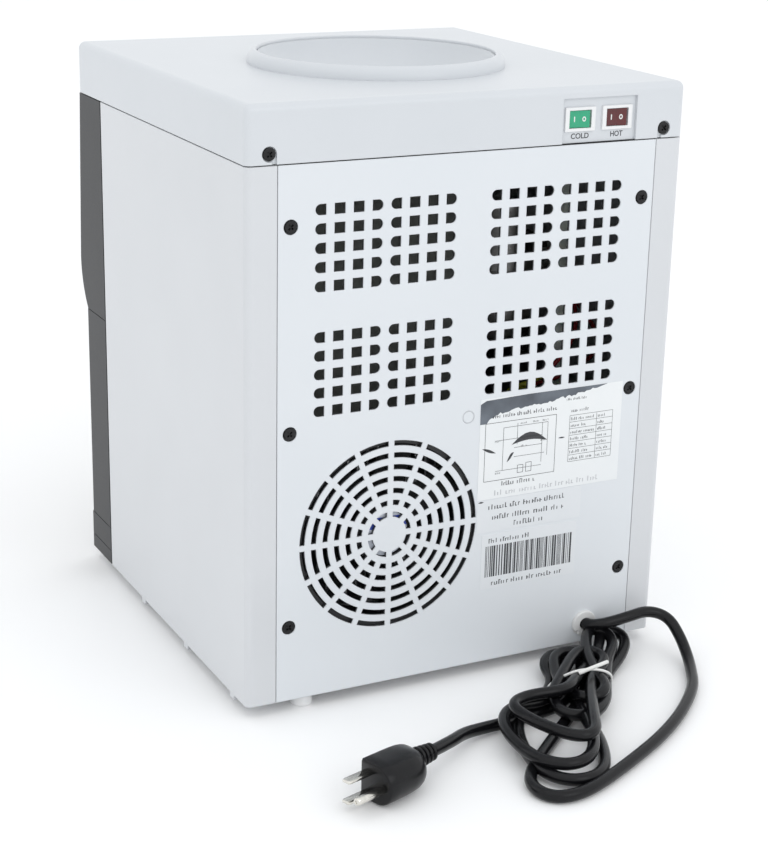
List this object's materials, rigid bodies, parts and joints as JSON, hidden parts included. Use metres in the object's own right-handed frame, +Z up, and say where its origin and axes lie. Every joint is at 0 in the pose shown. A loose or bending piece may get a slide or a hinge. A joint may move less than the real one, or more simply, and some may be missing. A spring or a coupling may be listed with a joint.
{
  "type": "countertop water dispenser",
  "caption": "Countertop hot and cold water dispenser with a bottle seat on top, rear vents, fan grille, rocker switches, drip tray and a tied power cord.",
  "frame": {"origin": "on the worktop, under the centre of the dispenser's body", "axes": "the front with the taps faces -Y, the rear cover faces +Y, +Z is up"},
  "size_m": [0.2984, 0.4734, 0.381],
  "materials": {
    "casing_white": "satin white powder coat, faintly blue",
    "cover_white": "satin white powder coat",
    "shell_white": "smooth moulded white plastic, soft gloss",
    "front_dark": "dark charcoal moulded plastic",
    "white_plastic": "matte white plastic",
    "black_plastic": "matte black plastic",
    "green_rocker": "translucent green plastic",
    "red_rocker": "translucent dark red plastic",
    "blue_lever": "blue plastic",
    "red_lever": "red plastic",
    "lens_smoke": "clear smoked plastic lens",
    "board_green": "coated circuit board",
    "component_mix": "moulded component cases",
    "black_screw": "black oxide steel",
    "steel": "brushed stainless steel",
    "spring_steel": "drawn spring steel",
    "aluminium": "extruded aluminium, milled face",
    "ceramic_white": "white alumina plates",
    "foam_grey": "grey closed-cell foam",
    "silicone": "milky silicone hose",
    "wire_sleeve": "yellow-green and red wire sleeve",
    "cord_black": "glossy black flexible cord",
    "nickel": "nickel-plated brass",
    "tie_white": "white paper-covered twist tie",
    "label_grey": "silver-grey printed label",
    "label_white": "matte white paper label",
    "gland_pale": "pale grey nylon bush"
  },
  "bodies": {
    "dispenser": {"base_plate": "casing_white", "board_components": "component_mix", "cold_block": "aluminium", "cold_hose": "silicone", "cold_switch_housing": "white_plastic", "cold_tank": "steel", "cold_tank_insulation": "foam_grey", "cold_tap_body": "black_plastic", "cold_valve_spring": "spring_steel", "cord_gland": "gland_pale", "cord_tie": "tie_white", "fan_frame": "black_plastic", "fan_screws": "steel", "feet": "white_plastic", "front_lower_panel": "front_dark", "front_plinth": "front_dark", "front_upper_panel": "front_dark", "heat_sink": "aluminium", "heater_band": "steel", "hot_hose": "silicone", "hot_switch_housing": "white_plastic", "hot_tank": "steel", "hot_tap_body": "black_plastic", "hot_valve_spring": "spring_steel", "indicator_board": "board_green", "indicator_lenses": "lens_smoke", "left_side_panel": "casing_white", "lever_pins": "steel", "plug_blades": "nickel", "plug_body": "cord_black", "power_board": "board_green", "power_cord_hank": "cord_black", "power_cord_lead": "cord_black", "power_cord_tail": "cord_black", "rating_label": "label_grey", "rear_cover": "cover_white", "rear_cover_screws": "black_screw", "right_side_panel": "casing_white", "serial_label": "label_white", "service_label": "label_white", "tap_nuts": "white_plastic", "thermoelectric_module": "ceramic_white", "thermostats": "black_plastic", "top_cover": "shell_white", "top_cover_screws": "black_screw", "vent_hose": "silicone", "wire_leads": "wire_sleeve"},
    "cold_lever": {"cold_lever": "blue_lever"},
    "hot_lever": {"hot_lever": "red_lever"},
    "cold_valve_stem": {"cold_valve_stem": "white_plastic"},
    "hot_valve_stem": {"hot_valve_stem": "white_plastic"},
    "hot_safety_catch": {"hot_safety_catch": "red_lever"},
    "cold_rocker": {"cold_rocker": "green_rocker"},
    "hot_rocker": {"hot_rocker": "red_rocker"},
    "fan_rotor": {"fan_rotor": "black_plastic"},
    "drip_tray": {"drip_tray": "front_dark"},
    "drip_grate": {"drip_grate": "front_dark"},
    "bottle_seat": {"bottle_seat": "shell_white"}
  },
  "joints": [
    {"name": "cold_lever_press", "type": "hinge", "parent": "dispenser", "child": "cold_lever", "pos_m": [0.038, -0.124, 0.176], "axis": [1, 0, 0], "range_deg": [0, 15], "stiffness_Nm_per_rad": 0.4},
    {"name": "cold_valve_lift", "type": "slide", "parent": "dispenser", "child": "cold_valve_stem", "axis": [0, 0, 1], "range_m": [0, 0.0021], "deforming": ["cold_valve_spring"]},
    {"name": "hot_lever_press", "type": "hinge", "parent": "dispenser", "child": "hot_lever", "pos_m": [-0.038, -0.124, 0.176], "axis": [1, 0, 0], "range_deg": [0, 15], "stiffness_Nm_per_rad": 0.4},
    {"name": "hot_valve_lift", "type": "slide", "parent": "dispenser", "child": "hot_valve_stem", "axis": [0, 0, 1], "range_m": [0, 0.0021], "deforming": ["hot_valve_spring"]},
    {"name": "hot_catch_slide", "type": "slide", "parent": "hot_lever", "child": "hot_safety_catch", "axis": [0, 1, 0], "range_m": [0, 0.005], "stiffness_N_per_m": 60},
    {"name": "cold_switch_rock", "type": "hinge", "parent": "dispenser", "child": "cold_rocker", "pos_m": [-0.0714, 0.1476, 0.3533], "axis": [0, 0, 1], "range_deg": [0, 16]},
    {"name": "hot_switch_rock", "type": "hinge", "parent": "dispenser", "child": "hot_rocker", "pos_m": [-0.0976, 0.1476, 0.3533], "axis": [0, 0, 1], "range_deg": [0, 16]},
    {"name": "fan_spin", "type": "hinge", "parent": "dispenser", "child": "fan_rotor", "pos_m": [0.0512, 0.135, 0.1063], "axis": [0, 1, 0], "continuous": true},
    {"name": "tray_draw", "type": "slide", "parent": "dispenser", "child": "drip_tray", "axis": [0, -1, 0], "range_m": [0, 0.08]},
    {"name": "grate_lift", "type": "slide", "parent": "drip_tray", "child": "drip_grate", "axis": [0, 0, 1], "range_m": [0, 0.03]},
    {"name": "seat_lift", "type": "slide", "parent": "dispenser", "child": "bottle_seat", "axis": [0, 0, 1], "range_m": [0, 0.08]}
  ],
  "couplings": [
    {"joint": "cold_valve_lift", "follows": "cold_lever_press", "m_per_rad": 0.008},
    {"joint": "hot_valve_lift", "follows": "hot_lever_press", "m_per_rad": 0.008}
  ]
}
